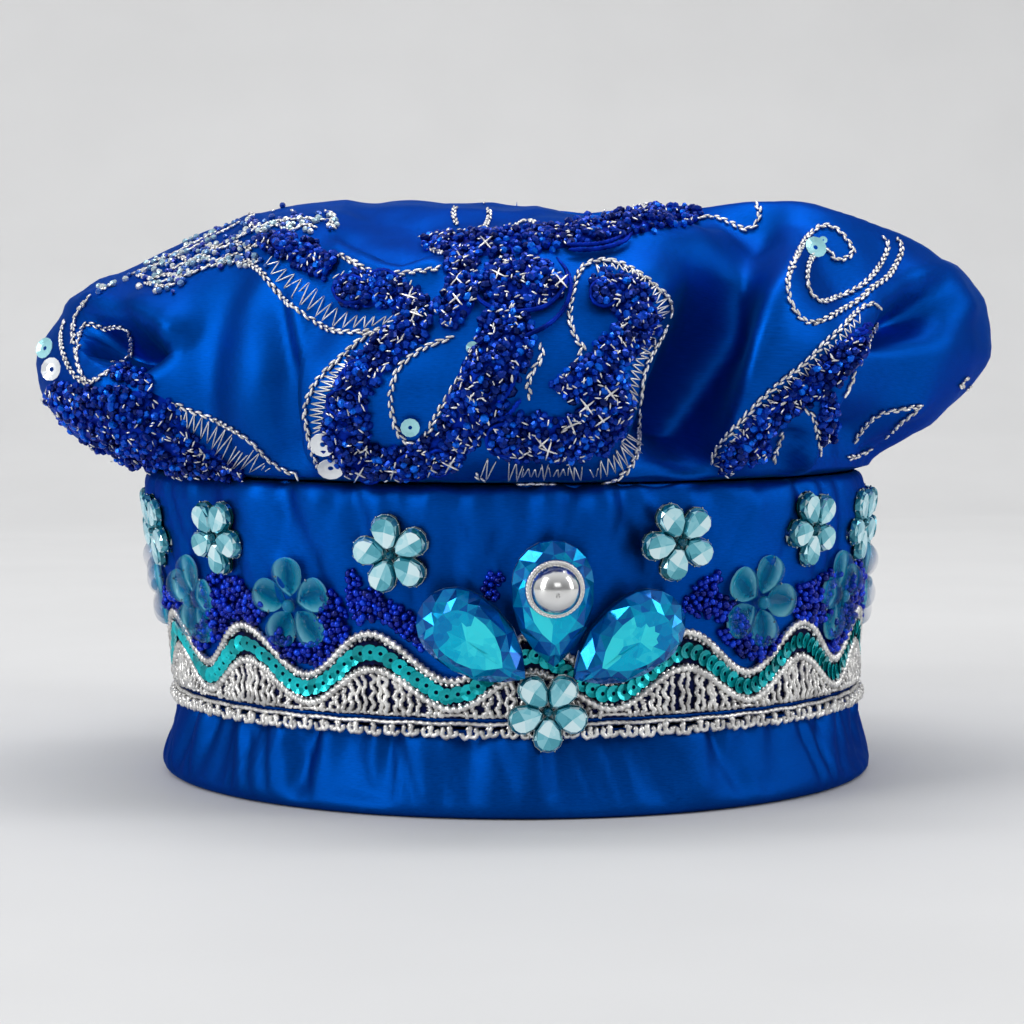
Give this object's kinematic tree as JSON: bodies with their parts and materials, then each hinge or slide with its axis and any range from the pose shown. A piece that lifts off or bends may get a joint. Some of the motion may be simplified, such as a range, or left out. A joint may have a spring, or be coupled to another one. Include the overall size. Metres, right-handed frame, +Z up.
{
  "type": "decorated cap",
  "caption": "Puffed satin cap: a wide folded crown on a tall padded band with a gathered hem, a wave trim, stone flowers, a fan of pear stones at the front and beaded scrolls on the crown.",
  "frame": {"origin": "centre of the hem's foot, on the surface that the cap stands on", "axes": "+Z up through the crown, -Y the front with the ornament, +X to the right as the cap is faced from the front"},
  "size_m": [0.2726, 0.2461, 0.161],
  "materials": {
    "satin": "royal-blue satin with a soft sheen",
    "beading": "dense dark royal-blue seed beads with silver stitches",
    "silver_cord": "silver-wrapped cord and bullion wire",
    "sequin": "teal satin-gloss sequins",
    "aqua_stone": "pale aqua foil-backed cut stone in a silver setting",
    "cabochon": "clear blue-teal domed stone in a thin setting",
    "pear_stone": "deep cyan foil-backed cut pear stone",
    "bright_metal": "polished silver-coloured metal"
  },
  "bodies": {
    "root": {"applique_back_left_scroll": "beading", "applique_back_plume": "beading", "applique_back_right_scroll": "beading", "applique_centre_plume": "beading", "applique_left_scroll": "beading", "applique_left_spray": "beading", "applique_right_scroll": "beading", "applique_right_spray": "beading", "applique_shoulder_band": "beading", "band": "satin", "cabochon_flower_01": "cabochon", "cabochon_flower_02": "cabochon", "cabochon_flower_03": "cabochon", "cabochon_flower_04": "cabochon", "cabochon_flower_05": "cabochon", "cabochon_flower_06": "cabochon", "cabochon_flower_07": "cabochon", "cabochon_flower_08": "cabochon", "cabochon_flower_09": "cabochon", "cabochon_flower_10": "cabochon", "cabochon_flower_11": "cabochon", "cabochon_flower_12": "cabochon", "cabochon_flower_13": "cabochon", "crown": "satin", "faceted_flower_01": "aqua_stone", "faceted_flower_02": "aqua_stone", "faceted_flower_03": "aqua_stone", "faceted_flower_04": "aqua_stone", "faceted_flower_05": "aqua_stone", "faceted_flower_06": "aqua_stone", "faceted_flower_07": "aqua_stone", "faceted_flower_08": "aqua_stone", "faceted_flower_09": "aqua_stone", "faceted_flower_10": "aqua_stone", "faceted_flower_11": "aqua_stone", "faceted_flower_12": "aqua_stone", "faceted_flower_13": "aqua_stone", "faceted_flower_14": "aqua_stone", "faceted_flower_low": "aqua_stone", "hem": "satin", "metal_button": "bright_metal", "pear_stone_left": "pear_stone", "pear_stone_middle": "pear_stone", "pear_stone_right": "pear_stone", "trim_bullion_fill": "silver_cord", "trim_edging": "silver_cord", "trim_lower_cord": "silver_cord", "trim_sequin_row": "sequin", "trim_upper_cord": "silver_cord"}
  },
  "joints": []
}
